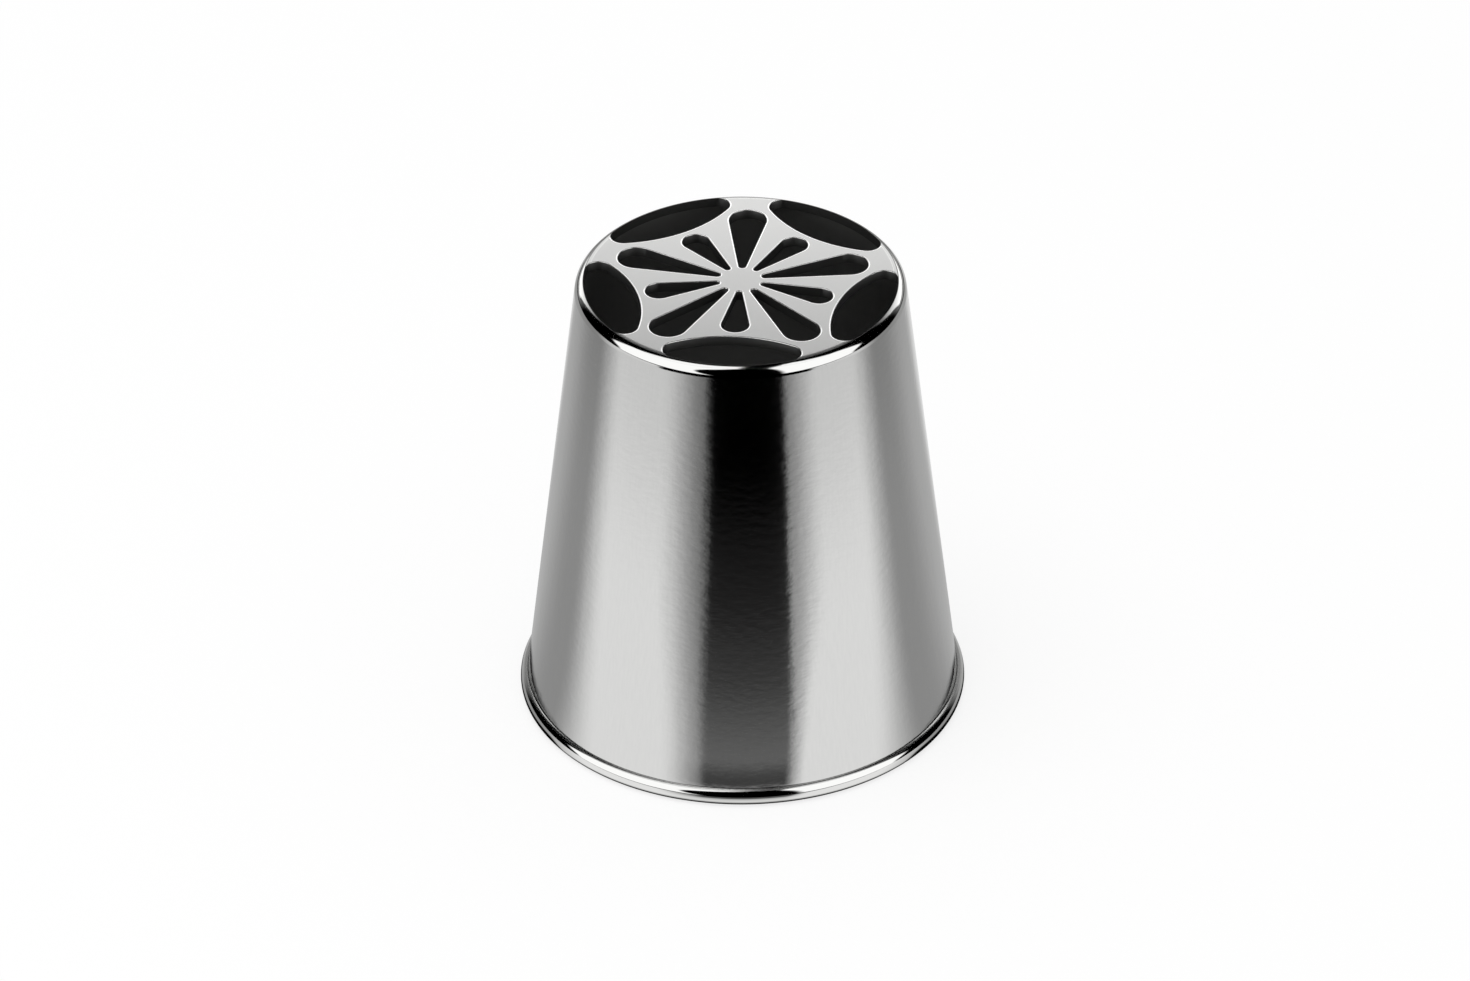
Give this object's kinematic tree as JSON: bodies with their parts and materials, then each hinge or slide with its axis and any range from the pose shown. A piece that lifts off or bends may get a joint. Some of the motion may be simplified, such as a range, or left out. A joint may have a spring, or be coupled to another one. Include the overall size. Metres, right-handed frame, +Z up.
{
  "type": "piping nozzle",
  "caption": "Conical steel piping nozzle with a folded foot and a flat face pierced by petal openings and lens-shaped rim openings, for one-press flowers of icing.",
  "frame": {"origin": "centre of the flat ring that the folded foot stands on", "axes": "+Z up the nozzle's axis, from the open foot to the pierced face; -Y to the picture's front, where a short petal points"},
  "size_m": [0.035, 0.035, 0.0373],
  "materials": {
    "satin_steel": "drawn stainless steel, satin wall with fine marks down it, mirror-polished shoulder and foot",
    "face_steel": "laser-cut stainless steel sheet, fine matte face",
    "weld_steel": "stainless weld, dressed flush and polished with the shoulder, a hair duller than the sheet"
  },
  "bodies": {
    "root": {"shell": "satin_steel", "face_plate": "face_steel", "weld_ring": "weld_steel"}
  },
  "joints": []
}
